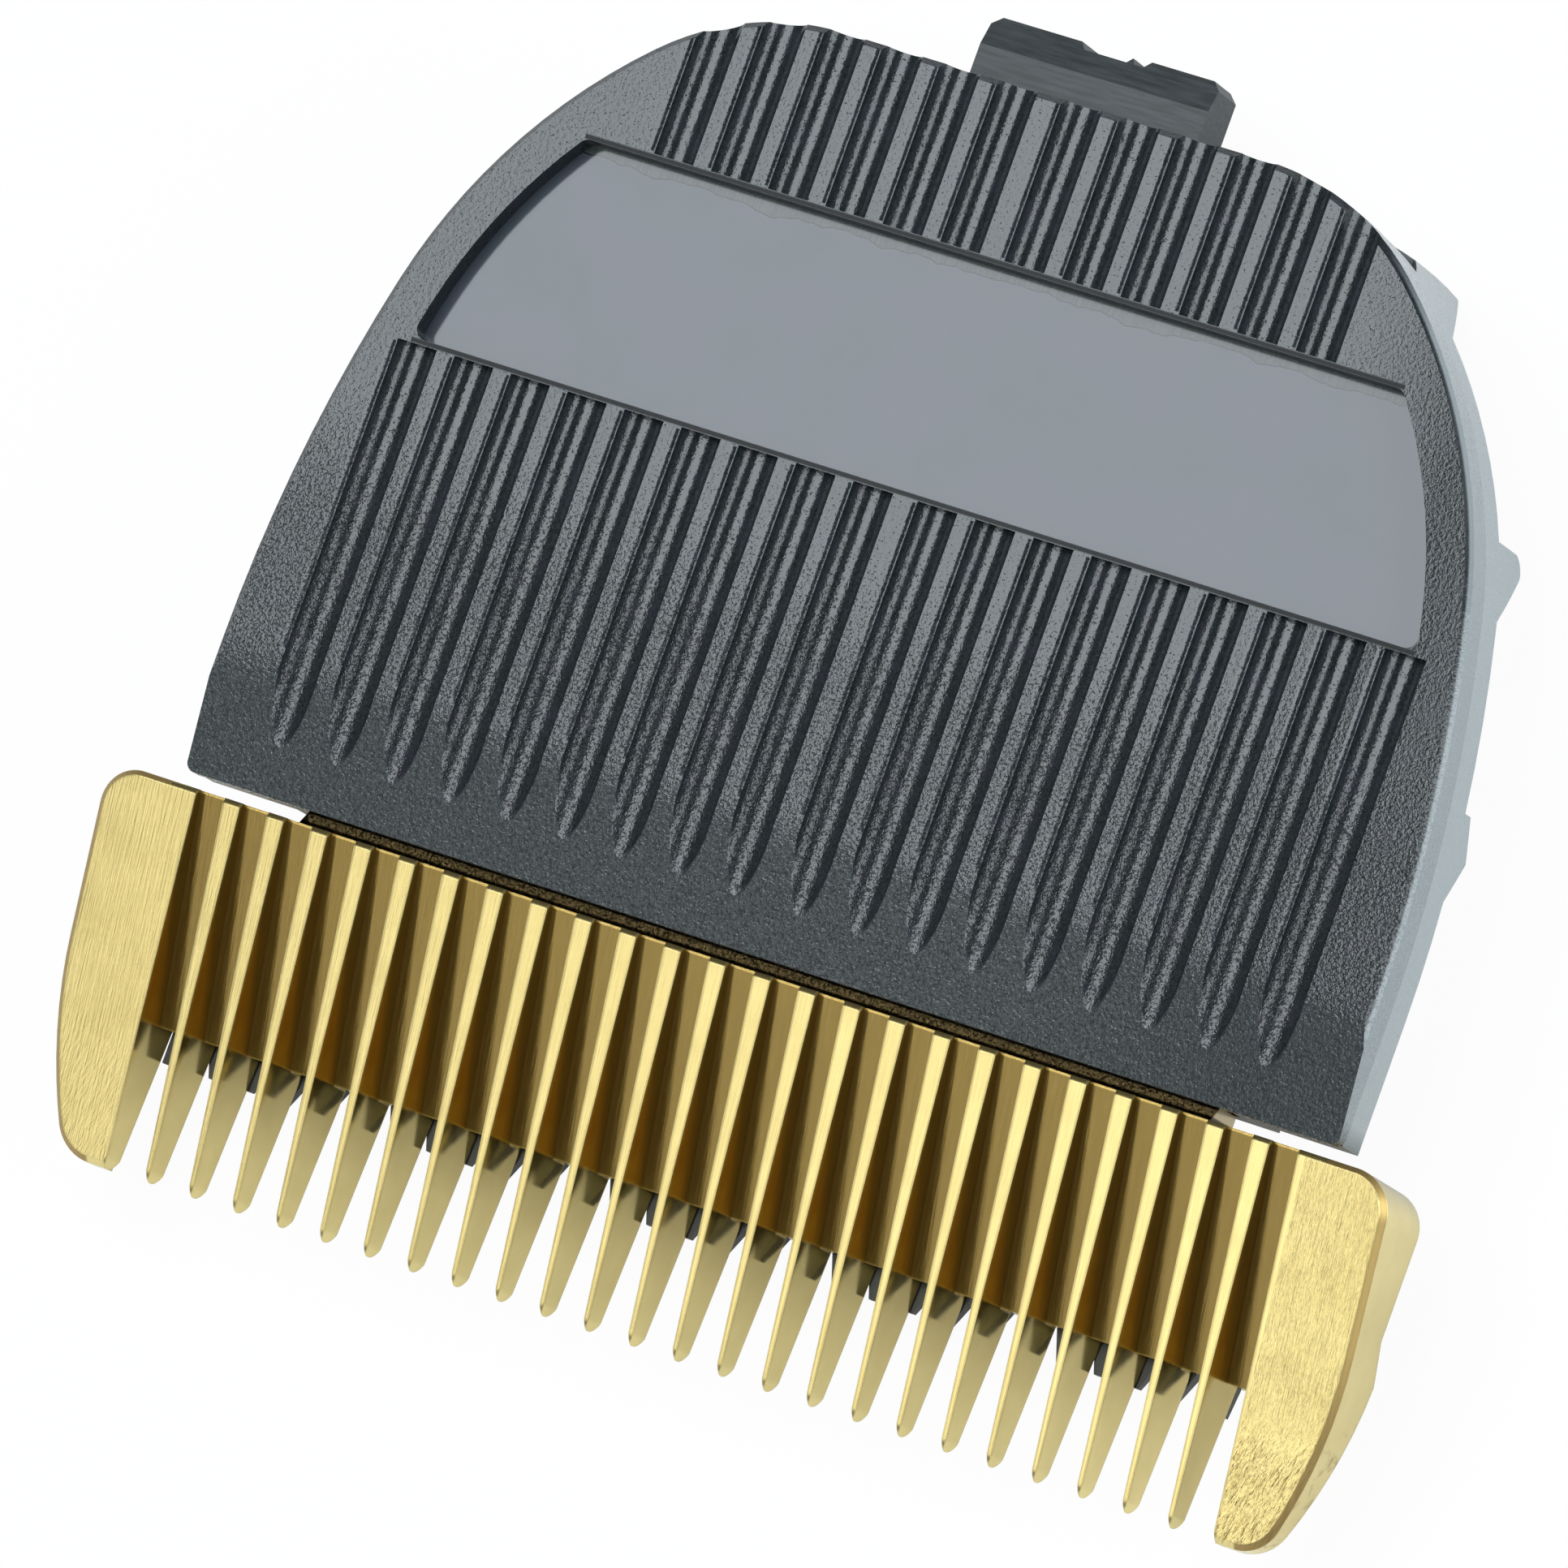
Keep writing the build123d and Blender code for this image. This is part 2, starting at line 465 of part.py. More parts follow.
with BuildPart() as fixed_blade:
    # Wedge-shaped section with a flat sloping front
    with BuildSketch(Plane.YZ):
        with BuildLine():
            Polyline((tip_y, cut_z), (tip_y, cut_z + TIP_THICKNESS), (root_y, cut_z + ROOT_THICKNESS),
                     (root_y, cut_z), close=True)
        make_face()
    extrude(amount=comb_half, both=True)
    # Ears: rounded upper corners, then a long curve in to the lower tips
    with BuildSketch(Plane.XY.offset(cut_z)) as ears:
        with BuildLine():
            upper = Line((0, root_y), (comb_half, root_y))
            flat = Line(upper @ 1, (comb_half, tip_y + EAR_SIDE_HEIGHT))
            low = (ear_inner_x + EAR_TIP_WIDTH, tip_y)
            curve = TangentArc(flat @ 1, low, tangent=(0, -1))
            Polyline(low, (0, tip_y))
            mirror(about=Plane.YZ)
        make_face()
        upper_corners = ears.vertices().group_by(Axis.Y)[-1].filter_by(lambda v: abs(v.X) > ear_inner_x)
        fillet(upper_corners, EAR_CORNER_RADIUS)
        lower_corners = ears.vertices().group_by(Axis.Y)[0].filter_by(lambda v: abs(v.X) > ear_inner_x)
        fillet(lower_corners, EAR_TIP_RADIUS)
    extrude(amount=ROOT_THICKNESS + TIP_THICKNESS, mode=Mode.INTERSECT)
    # One chamfer runs along the ears, the tooth tips and the root
    crown = fixed_blade.faces().filter_by(lambda f: f.normal_at().Z > 0.5).sort_by(SortBy.AREA)[-1]
    chamfer(crown.edges(), COMB_EDGE_CHAMFER)
    # Relief that slopes up behind the ears
    for ear_sign in (-1, 1):
        with BuildSketch(Plane.YZ.offset(ear_sign * ear_inner_x)):
            with BuildLine():
                Polyline((relief_y, cut_z), (relief_y + EAR_RELIEF_RUN, relief_z), (cover_y, relief_z),
                         (cover_y, cut_z), close=True)
            make_face()
        extrude(amount=comb_half - ear_inner_x, dir=(ear_sign, 0, 0), mode=Mode.SUBTRACT)
    # Fully rounded noses of the teeth
    with BuildSketch(Plane.YZ):
        with BuildLine():
            nose_arc = ThreePointArc((tip_y + nose_radius, cut_z), (tip_y, cut_z + nose_radius),
                                     (nose_front_y, nose_front_z))
            Polyline(nose_arc @ 1, (nose_front_y, cut_z + ROOT_THICKNESS),
                     (tip_y - TIP_THICKNESS, cut_z + ROOT_THICKNESS),
                     (tip_y - TIP_THICKNESS, cut_z - TIP_THICKNESS),
                     (tip_y + nose_radius, cut_z - TIP_THICKNESS), nose_arc @ 0)
        make_face()
    extrude(amount=ear_inner_x, both=True, mode=Mode.SUBTRACT)
    # Slots between the teeth
    with GridLocations(TOOTH_PITCH, 0, slot_count, 1):
        add(slot_tool.part, mode=Mode.SUBTRACT)
    # Sloping floor that closes the slots above the cutting zone
    with BuildSketch(Plane.YZ):
        with BuildLine():
            Polyline((slot_end_y, cut_z), (slot_end_y, cut_z + FLOOR_END_THICKNESS),
                     (root_y, cut_z + ROOT_THICKNESS - GROOVE_ROOT_DEPTH), (root_y, cut_z), close=True)
        make_face()
    extrude(amount=ear_inner_x, both=True)
    # Sloping neck from the roots of the teeth down to the tang
    with BuildSketch(Plane.YZ):
        with BuildLine():
            Polyline((root_y - half_pitch, tang_z), (root_y - half_pitch, tang_top_z + NECK_SLOPE),
                     (root_y, tang_top_z + NECK_SLOPE), (root_y + NECK_SLOPE, tang_top_z),
                     (root_y + NECK_SLOPE, tang_z), close=True)
        make_face()
    extrude(amount=TANG_WIDTH / 2, both=True)
    # Tang with its two screw holes
    with BuildSketch(Plane.XY.offset(tang_z)):
        with Locations((0, root_y - half_pitch)):
            Rectangle(TANG_WIDTH, TANG_REACH + half_pitch, align=(Align.CENTER, Align.MIN))
        with Locations(*[(x, screw_y) for x in screw_xs]):
            Circle(SCREW_RADIUS + SCREW_FIT, mode=Mode.SUBTRACT)
    extrude(amount=TANG_THICKNESS)
fixed_blade.part.label = "fixed_blade"
export_step(fixed_blade.part, "parts/fixed_blade.step")

for screw_name, screw_x in (("left_screw", screw_xs[0]), ("right_screw", screw_xs[1])):
    with BuildPart() as screw:
        with BuildSketch(Plane.XY.offset(crossbar_z)):
            with Locations((screw_x, screw_y)):
                Circle(SCREW_HEAD_RADIUS)
        extrude(amount=-SCREW_HEAD_HEIGHT)
        chamfer(screw.edges().group_by(Axis.Z)[0], SCREW_HEAD_EDGE)
        with BuildSketch(Plane.XY.offset(crossbar_z - SCREW_HEAD_HEIGHT)):
            with Locations((screw_x, screw_y)):
                Rectangle(2 * SCREW_HEAD_RADIUS, SCREW_SLOT_WIDTH, rotation=45)
        extrude(amount=SCREW_SLOT_DEPTH, mode=Mode.SUBTRACT)
        with BuildSketch(Plane.XY.offset(crossbar_z)):
            with Locations((screw_x, screw_y)):
                Circle(SCREW_RADIUS)
        extrude(amount=tang_top_z - crossbar_z)
    screw.part.label = screw_name
    export_step(screw.part, f"parts/{screw_name}.step")

# Moving blade: flat, with pointed teeth behind the comb's slots, ground thin towards their tips
cutter_tip_y = tip_y + CUTTER_SETBACK
cutter_root_y = cutter_tip_y + CUTTER_TOOTH_LENGTH
cutter_top_y = cutter_root_y + CUTTER_BODY
cutter_half = (CUTTER_TEETH - 1) * CUTTER_PITCH / 2 + CUTTER_END
gap_tip_half = (CUTTER_PITCH - CUTTER_TIP_WIDTH) / 2
gap_root_half = (CUTTER_PITCH - CUTTER_ROOT_WIDTH) / 2
stake_y = cutter_top_y - STAKE_INSET
cutter_plane = Plane(origin=(CUTTER_REST_X, 0, cutter_z))

with BuildSketch() as cutter_gap:
    with BuildLine():
        Polyline((-gap_tip_half, cutter_tip_y), (-gap_root_half, cutter_root_y),
                 (gap_root_half, cutter_root_y), (gap_tip_half, cutter_tip_y), close=True)
    make_face()

with BuildPart() as moving_blade:
    with BuildSketch(cutter_plane):
        with Locations((0, cutter_tip_y)):
            Rectangle(2 * cutter_half, CUTTER_TOOTH_LENGTH + CUTTER_BODY, align=(Align.CENTER, Align.MIN))
        with GridLocations(CUTTER_PITCH, 0, CUTTER_TEETH - 1, 1):
            add(cutter_gap.sketch, mode=Mode.SUBTRACT)
        with Locations((-STAKE_SPACING / 2, stake_y), (STAKE_SPACING / 2, stake_y)):
            Circle(STAKE_RADIUS + STAKE_FIT, mode=Mode.SUBTRACT)
    extrude(amount=CUTTER_THICKNESS)
    with BuildSketch(Plane.YZ):
        with BuildLine():
            Polyline((cutter_tip_y, cutter_z), (cutter_tip_y, cutter_top_z - CUTTER_TIP_THICKNESS),
                     (cutter_tip_y + CUTTER_GRIND, cutter_z), close=True)
        make_face()
    extrude(amount=comb_half, both=True, mode=Mode.SUBTRACT)
moving_blade.part.label = "moving_blade"
export_step(moving_blade.part, "parts/moving_blade.step")

# Drive yoke: a block on the back of the blade with a slot for the drive pin and a wing each side
yoke_y = cutter_top_y - YOKE_LAP
yoke_top_y = yoke_y + YOKE_LENGTH
shoulder_y = cutter_top_y + STAKE_FIT
wing_z = leg_z + SPRING_WIRE / 2 + SPRING_TOUCH
wing_top_y = spring_y - coil_outer - WING_CLEARANCE
yoke_plane = cutter_plane.offset(-cutter_z)

with BuildPart() as drive_yoke:
    with BuildSketch(yoke_plane) as yoke:
        with Locations((0, yoke_y)):
            Rectangle(YOKE_WIDTH, YOKE_LENGTH, align=(Align.CENTER, Align.MIN))
        fillet(yoke.vertices(), YOKE_CORNER)
    extrude(amount=cutter_z)
    # Shoulder that the blade's upper edge sits against, level with the blade's front
    with BuildSketch(cutter_plane):
        add(yoke.sketch_local)
        with Locations((0, shoulder_y)):
            Rectangle(YOKE_WIDTH, YOKE_LENGTH, align=(Align.CENTER, Align.MIN), mode=Mode.INTERSECT)
    extrude(amount=CUTTER_THICKNESS)
    with BuildSketch(yoke_plane.offset(wing_z)):
        with Locations((0, wing_top_y)):
            Rectangle(WING_SPAN, WING_HEIGHT, align=(Align.CENTER, Align.MAX))
    extrude(amount=cutter_top_z - wing_z)
    with BuildSketch(yoke_plane):
        with Locations((0, yoke_top_y - DRIVE_SLOT_TOP)):
            SlotOverall(DRIVE_SLOT_LENGTH, DRIVE_SLOT_WIDTH, rotation=90, align=(Align.MAX, Align.CENTER))
    extrude(amount=cutter_top_z, mode=Mode.SUBTRACT)
    with BuildSketch(cutter_plane):
        with Locations((-STAKE_SPACING / 2, stake_y), (STAKE_SPACING / 2, stake_y)):
            Circle(STAKE_RADIUS)
    extrude(amount=CUTTER_THICKNESS)
drive_yoke.part.label = "drive_yoke"
export_step(drive_yoke.part, "parts/drive_yoke.step")

# Torsion springs: one leg behind the yoke's wing, the other behind a rib of the frame
front_leg = spring_y - wing_top_y + WING_HEIGHT / 2

with BuildPart() as right_spring:
    with BuildLine() as wire:
        coil = Helix(SPRING_WIRE + SPRING_GAP, coil_length, SPRING_COIL_RADIUS,
                     center=(SPRING_X + coil_length / 2, spring_y, SPRING_LEVEL), direction=(-1, 0, 0))
    with BuildSketch(Plane(origin=coil @ 0, z_dir=coil % 0)):
        RegularPolygon(SPRING_WIRE / 2, SPRING_WIRE_SIDES)
    sweep(path=wire.wires()[0], is_frenet=True)
    with BuildSketch(Plane(origin=coil @ 0, z_dir=coil % 0)):
        RegularPolygon(SPRING_WIRE / 2, SPRING_WIRE_SIDES)
    extrude(amount=-SPRING_BACK_LEG)
    with BuildSketch(Plane(origin=coil @ 1, z_dir=coil % 1)):
        RegularPolygon(SPRING_WIRE / 2, SPRING_WIRE_SIDES)
    extrude(amount=front_leg)
right_spring.part.label = "right_spring"
export_step(right_spring.part, "parts/right_spring.step")

with BuildPart() as left_spring:
    mirror(right_spring.part, about=Plane.YZ)
left_spring.part.label = "left_spring"
export_step(left_spring.part, "parts/left_spring.step")
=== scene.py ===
"""Looks of a hair clipper blade cassette: gold comb, black cutter, charcoal cover and frame."""
from math import pi

import bpy
from mathutils import Matrix, Vector

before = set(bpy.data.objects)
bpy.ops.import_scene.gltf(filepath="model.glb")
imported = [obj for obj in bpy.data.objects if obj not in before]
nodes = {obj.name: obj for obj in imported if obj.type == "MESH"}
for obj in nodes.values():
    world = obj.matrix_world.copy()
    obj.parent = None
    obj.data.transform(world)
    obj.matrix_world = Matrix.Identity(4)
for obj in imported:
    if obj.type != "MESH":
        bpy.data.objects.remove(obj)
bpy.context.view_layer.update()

MM = 0.001

# Camera: where the picture was taken from, in millimetres, with its right, up and back directions
CAMERA_PLACE = (195.5, -48.1, 494.3)
CAMERA_RIGHT = (0.88303, 0.33756, -0.32603)
CAMERA_UP = (-0.28442, 0.93753, 0.20036)
CAMERA_BACK = (0.37330, -0.08420, 0.92388)
SENSOR = 36.0
LENS = 382.1

# The cover's panel, the painted shade lines along its edges and its film of glue, in millimetres
PANEL_BOTTOM_Y = 6.15
PANEL_TOP_Y = 13.9
PANEL_LEVEL = 8.75
EDGE_SHADE_HALF = 0.08
EDGE_SHADE_REACH = 17.9
EDGE_SHADE_TOP_REACH = 14.6
FILM_WIDTH = (0.15, 0.65)
FILM_EDGE = 0.05

# The cover's front: chin, channels with their lips, dish at the right, pits darkened by painted shade
COVER_FRONT = 9.0
CHIN_Y = -5.3
CHIN_SLOPE = 0.25
CHIN_SKIN = 0.04
CHIN_BLEND = 0.9
CHIN_EDGE = 0.5
CHANNEL_FIRST = 1.145
CHANNEL_PITCH = 2.06
CHANNEL_HALF = 0.708
LOWER_REACH = 17.5
UPPER_REACH = 11.3
LIP_RADIUS = 0.26
LIP_SINE = 0.7
DISH_START = 9.0
DISH_END = 17.0
DISH_SLOPE = 0.11
PIT_ROWS = (5.0, 0.0)
PIT_LEVELS = (0.36, 0.46)
PIT_EDGE = 0.06
PIT_SHADE = 0.7
SPARK_ROWS = (4.0, 0.0)
SPARK_HEIGHTS = (0.5, 1.4)

# The outer walls of the cover and the frame, lightened by painted reflection, and the hook
SIDE_X = 18.45
SIDE_TOP_X = 12.4
SIDE_STEP = 0.1
SIDE_SHARP = 0.02
SIDE_FADE = 2.5
SIDE_LEAST = (0.8, 0.3)
SIDE_LEAST_X = (-1.0, 1.0)
TURN_EDGE = 0.1
TOP_TURN = (0.3, 0.6)
TOP_ROWS = (PANEL_TOP_Y + 1.0, PANEL_TOP_Y + 1.5)
RIM_LINE = 0.1
CORNER_Y = -9.4
CORNER_FADE = 1.0
HOOK_Y = 19.7
HOOK_EDGE = 0.1
SOFT_EDGE = 0.03

# How far up a face has to look to be a floor, and the limits between wall and floor
FLOOR_FACING = 0.5
WALL_FACING = (0.1, 0.3)

# The comb: ears with their marks and chamfer, crowns of the teeth, slots, crease behind the roots with painted
# shade and a painted highlight
ROOT_Y = -9.75
NECK_EDGE = 0.02
CREASE_SHADE_TO_HIGHLIGHT_ROWS = (ROOT_Y + 0.14, ROOT_Y + 0.2)
EAR_START = 20.0
EAR_EDGE = 0.1
EAR_RIM_X = (EAR_START + 0.6, EAR_START + 0.7)
EAR_RIM_LOW = (0.3, 0.4)
EAR_RIM_HIGH = (0.92, 0.87)
LEFT_EAR_MARKS = 0.15
UPPER_EAR_MARKS = 0.4
TIP_ROWS = (-16.0, -19.0)
SCRATCH_TURN = 0.35
SCORE_LEVELS = (0.46, 0.3)
SCORE_SHARE = 0.75
CROWN_SLOPE = 0.3176
CROWN_LEVEL = 11.816
CROWN_SKIN = (0.12, 0.2)
SLOT_END_Y = -17.15
SLOT_EDGE = 0.1
SLOT_REACH = (EAR_START + 0.2, EAR_START + 0.1)
COMB_EDGE_RADIUS = 0.12
COMB_EDGE_SAMPLES = 2

# Noise: features per millimetre, detail, roughness and stretch along the axes
PITS = {"scale": 11.0, "detail": 1.0, "rough": 0.6}
SPARKS = {"scale": 7.0, "rough": 0.7}
COVER_BLOTCHES = {"scale": 0.9, "rough": 0.6}
PANEL_CLOUDS = {"scale": 0.35}
FILM_WANDER = {"scale": 1.0, "detail": 3.0, "rough": 0.6, "stretch": (0.3, 0.0, 0.0)}
FILM_STREAKS = {"scale": 1.0, "rough": 0.6, "stretch": (8.0, 0.8, 0.8)}
FRAME_GRAIN = {"scale": 6.0}
HOOK_STREAKS = {"scale": 1.0, "detail": 3.0, "rough": 0.6, "stretch": (0.7, 7.0, 7.0)}
GOLD_LINES = {"scale": 1.0, "detail": 4.0, "rough": 0.6, "stretch": (14.0, 0.7, 0.7)}
GOLD_BLOTCHES = {"scale": 0.6, "detail": 3.0}
EAR_LINES = {"scale": 1.0, "detail": 4.0, "rough": 0.65, "stretch": (16.0, 0.5, 0.5)}
EAR_SCRATCHES = {"scale": 1.0, "detail": 3.0, "rough": 0.6, "stretch": (9.0, 1.6, 1.6)}
STEEL_GRAIN = {"scale": 4.0}
DARK_GRAIN = {"scale": 5.0}

# Parts of a noise's range that a ramp spreads out, and the height that raises nothing
WIDE = (0.3, 0.7)
CRISP = (0.35, 0.65)
BLOTCH_LEVELS = (0.5, 0.65)
BLOTCH_SHARE = 0.6
FILM_EDGE_SHARE = 0.2
PLAIN_HEIGHT = 0.5

# Colours; a pair is mixed by noise
COVER_GRAIN_COLOURS = ((0.008, 0.013, 0.015, 1), (0.022, 0.029, 0.031, 1))
COVER_BLOTCH_COLOUR = (0.026, 0.027, 0.038, 1)
CHIN_COLOURS = ((0.032, 0.042, 0.044, 1), (0.052, 0.062, 0.064, 1))
# painted shade for the pits and for the lines along the panel's edges
PAINTED_SHADE_COLOUR = (0.001, 0.002, 0.003, 1)
# painted reflection that lightens the cover's outer walls, top wall and right rim
COVER_WALL_REFLECTION_COLOUR = (0.25, 0.285, 0.295, 1)
PANEL_COLOURS = ((0.05, 0.063, 0.077, 1), (0.064, 0.067, 0.089, 1))
FILM_COLOURS = ((0.03, 0.04, 0.04, 1), (0.055, 0.066, 0.066, 1))
FILM_EDGE_COLOUR = (0.004, 0.006, 0.007, 1)
FRAME_COLOURS = ((0.045, 0.055, 0.059, 1), (0.065, 0.077, 0.082, 1))
# painted reflection that lightens the frame's walls
FRAME_WALL_REFLECTION_COLOUR = (0.34, 0.38, 0.39, 1)
HOOK_COLOURS = ((0.02, 0.025, 0.027, 1), (0.045, 0.053, 0.056, 1))
GOLD_COLOURS = ((0.74, 0.61, 0.25, 1), (0.82, 0.68, 0.29, 1))
# painted shade that browns the slots
SLOT_SHADE_COLOUR = (0.66, 0.47, 0.15, 1)
SCORE_COLOUR = (0.4, 0.27, 0.08, 1)
# painted shade on the ears' chamfer
EAR_RIM_SHADE_COLOUR = (0.5, 0.35, 0.13, 1)
# painted shade (first) and painted highlight (second) on the crease behind the roots
CREASE_SHADE_AND_HIGHLIGHT_COLOURS = ((0.05, 0.035, 0.015, 1), (0.8, 0.66, 0.42, 1))
BLACK_COLOURS = ((0.02, 0.022, 0.026, 1), (0.035, 0.037, 0.042, 1))
YOKE_COLOURS = ((0.04, 0.042, 0.045, 1), (0.06, 0.062, 0.066, 1))
WIRE_COLOUR = (0.55, 0.55, 0.56, 1)
SCREW_COLOUR = (0.62, 0.62, 0.63, 1)

# Roughness; a pair is its range
LAND_ROUGH = (0.12, 0.17)
PIT_ROUGH = 0.6
PANEL_ROUGH = 0.13
FRAME_ROUGH = (0.26, 0.34)
HOOK_ROUGH = 0.5
GOLD_ROUGH = (0.1, 0.18)
EAR_RIM_ROUGH = 0.45
BLACK_ROUGH = (0.3, 0.42)
YOKE_ROUGH = (0.4, 0.5)
WIRE_ROUGH = (0.25, 0.35)
SCREW_ROUGH = (0.2, 0.3)

# Bump: depth in millimetres and strength
SPARK_BUMP = (0.028, 0.8)
GRAIN_BUMP = (0.01, 0.5)
BRUSHED_BUMP = (0.01, 0.3)
MARKS_BUMP = (0.03, 0.8)

# Studio; a lamp has its direction, width, height, level and colour
WORLD_LEVEL = 0.1
WORLD_COLOUR = (1, 1, 1, 1)
SEEN_WHITE = 0.95
MIRRORED_WHITE = 0.24
FLOOR_HALF = 3.0
FLOOR_MATT = (0.9, 0.9, 0.9, 1)
FLOOR_GLOW = (1, 1, 1, 1)
LAMP_DISTANCE = 0.6
COOL_WHITE = (0.9, 0.96, 1.0)
PLAIN_WHITE = (1.0, 1.0, 1.0)
LAMPS = {
    "key_box": ((-0.17, 0.15, 0.98), 0.43, 0.37, 6.3, COOL_WHITE),
    "right_box": ((0.91, 0.08, 0.41), 0.34, 0.36, 5.2, COOL_WHITE),
    "front_box": ((-0.27, -0.47, 0.82), 0.25, 0.25, 1.15, PLAIN_WHITE),
    "rim_box": ((0.65, 0.7, 0.3), 0.25, 0.3, 1.0, COOL_WHITE),
    "ear_box": ((-0.25, -0.52, 0.82), 0.08, 0.18, 0.45, PLAIN_WHITE),
    "low_box": ((-0.27, -0.71, 0.66), 0.25, 0.12, 0.3, PLAIN_WHITE),
}


def add_node(tree, kind, settings=None, **inputs):
    """New shader node. Inputs go by name, or by number as i0, i1; each is a value or a socket to link from."""
    made = tree.nodes.new(kind)
    for name, value in (settings or {}).items():
        setattr(made, name, value)
    for name, value in inputs.items():
        socket = made.inputs[int(name[1:]) if name[1:].isdigit() else name]
        if isinstance(value, bpy.types.NodeSocket):
            tree.links.new(value, socket)
        else:
            socket.default_value = value
    return made


def new_material(name):
    """Material with a principled shader; returns the material, its tree, shader and coordinates in mm."""
    material = bpy.data.materials.new(name)
    material.use_nodes = True
    tree = material.node_tree
    shader = tree.nodes["Principled BSDF"]
    coords = add_node(tree, "ShaderNodeTexCoord")
    scaled = add_node(tree, "ShaderNodeVectorMath", {"operation": "SCALE"}, i0=coords.outputs["Object"],
                      Scale=1 / MM)
    return material, tree, shader, scaled.outputs["Vector"]


def split(tree, vector):
    """The X, Y and Z of a vector."""
    return add_node(tree, "ShaderNodeSeparateXYZ", Vector=vector).outputs


def face_normal(tree):
    """The way that a face looks."""
    return add_node(tree, "ShaderNodeNewGeometry").outputs["Normal"]


def math_node(tree, operation, first, second=0.0, clamp=False):
    """Result of one operation on one or two values."""
    made = add_node(tree, "ShaderNodeMath", {"operation": operation, "use_clamp": clamp}, i0=first, i1=second)
    return made.outputs["Value"]


def times(tree, first, *others):
    """Product of several values."""
    for other in others:
        first = math_node(tree, "MULTIPLY", first, other)
    return first


def noise(tree, coords, scale, detail=2.0, rough=0.5, stretch=(1, 1, 1)):
    """Noise with scale in features per millimetre; stretch scales the axes."""
    mapped = add_node(tree, "ShaderNodeMapping", Vector=coords, Scale=stretch)
    made = add_node(tree, "ShaderNodeTexNoise", Vector=mapped.outputs["Vector"], Scale=scale, Detail=detail,
                    Roughness=rough)
    return made.outputs["Fac"]


def ramp(tree, value, low, high, low_out=0.0, high_out=1.0, shape="LINEAR"):
    """Takes the range from low to high to the range of the two outputs, and holds the ends."""
    made = add_node(tree, "ShaderNodeMapRange", {"clamp": True, "interpolation_type": shape}, Value=value,
                    i1=low, i2=high, i3=low_out, i4=high_out)
    return made.outputs["Result"]


def mix_colours(tree, factor, first, second):
    """First colour where the factor is 0, second where it is 1."""
    made = add_node(tree, "ShaderNodeMix", {"data_type": "RGBA"}, i0=factor, i6=first, i7=second)
    return made.outputs[2]


def mix_values(tree, factor, first, second):
    """First value where the factor is 0, second where it is 1."""
    made = add_node(tree, "ShaderNodeMix", {"data_type": "FLOAT"}, i0=factor, i2=first, i3=second)
    return made.outputs[0]


def bump(tree, height, depth_mm, strength, **under):
    """Normals raised by a height map, on the Normal under it where one is given."""
    made = add_node(tree, "ShaderNodeBump", Height=height, Strength=strength, Distance=depth_mm * MM, **under)
    return made.outputs["Normal"]


def soft_edges(tree, radius_mm):
    """Normals that round off sharp edges by a radius in millimetres."""
    made = add_node(tree, "ShaderNodeBevel", {"samples": COMB_EDGE_SAMPLES}, Radius=radius_mm * MM)
    return made.outputs["Normal"]


def panel_mask(tree, axes):
    """1 on the floor of the recessed panel, 0 elsewhere."""
    above = math_node(tree, "GREATER_THAN", axes["Y"], PANEL_BOTTOM_Y)
    below = math_node(tree, "LESS_THAN", axes["Y"], PANEL_TOP_Y)
    sunk = math_node(tree, "LESS_THAN", axes["Z"], PANEL_LEVEL)
    facing = split(tree, face_normal(tree))
    level = math_node(tree, "GREATER_THAN", facing["Z"], FLOOR_FACING)
    return times(tree, above, below, sunk, level)


def wall_mask(tree):
    """1 on upright walls, 0 on faces that look up or down."""
    facing = split(tree, face_normal(tree))
    return ramp(tree, math_node(tree, "ABSOLUTE", facing["Z"]), *WALL_FACING, 1.0, 0.0)


def corner_mask(tree, axes):
    """0 at the lower corners of the cover and the frame, 1 above them."""
    return ramp(tree, axes["Y"], CORNER_Y, CORNER_Y + CORNER_FADE)


def chin_bend(tree, past):
    """Push along Y that turns the crease between the lands and the chin into a soft bend."""
    soft = ramp(tree, past, CHIN_BLEND, -CHIN_BLEND, 0.0, -CHIN_SLOPE, shape="SMOOTHSTEP")
    on_chin = times(tree, math_node(tree, "LESS_THAN", past, 0.0), CHIN_SLOPE)
    return math_node(tree, "ADD", soft, on_chin)


def lip_bend(tree, axes):
    """Push along X that rounds the lands off towards the channels on their right."""
    from_middle = math_node(tree, "SUBTRACT", math_node(tree, "ABSOLUTE", axes["X"]), CHANNEL_FIRST)
    side = times(tree, math_node(tree, "SIGN", axes["X"]), from_middle)
    turns = math_node(tree, "ROUND", math_node(tree, "DIVIDE", side, CHANNEL_PITCH))
    offset = math_node(tree, "SUBTRACT", side, times(tree, turns, CHANNEL_PITCH))
    sine = ramp(tree, offset, -CHANNEL_HALF - LIP_RADIUS, -CHANNEL_HALF, 0.0, LIP_SINE)
    cosine = math_node(tree, "SQRT", math_node(tree, "SUBTRACT", 1.0, times(tree, sine, sine)))
    lower = times(tree, math_node(tree, "LESS_THAN", from_middle, LOWER_REACH),
                  math_node(tree, "LESS_THAN", axes["Y"], PANEL_BOTTOM_Y - LIP_RADIUS))
    upper = times(tree, math_node(tree, "LESS_THAN", from_middle, UPPER_REACH),
                  math_node(tree, "GREATER_THAN", axes["Y"], PANEL_TOP_Y + LIP_RADIUS))
    left_edge = math_node(tree, "LESS_THAN", offset, 0.0)
    above_chin = ramp(tree, axes["Y"], CHIN_Y + CHIN_EDGE, CHIN_Y + CHIN_BLEND)
    slope = math_node(tree, "DIVIDE", sine, cosine)
    return times(tree, slope, math_node(tree, "MAXIMUM", lower, upper), left_edge, above_chin)


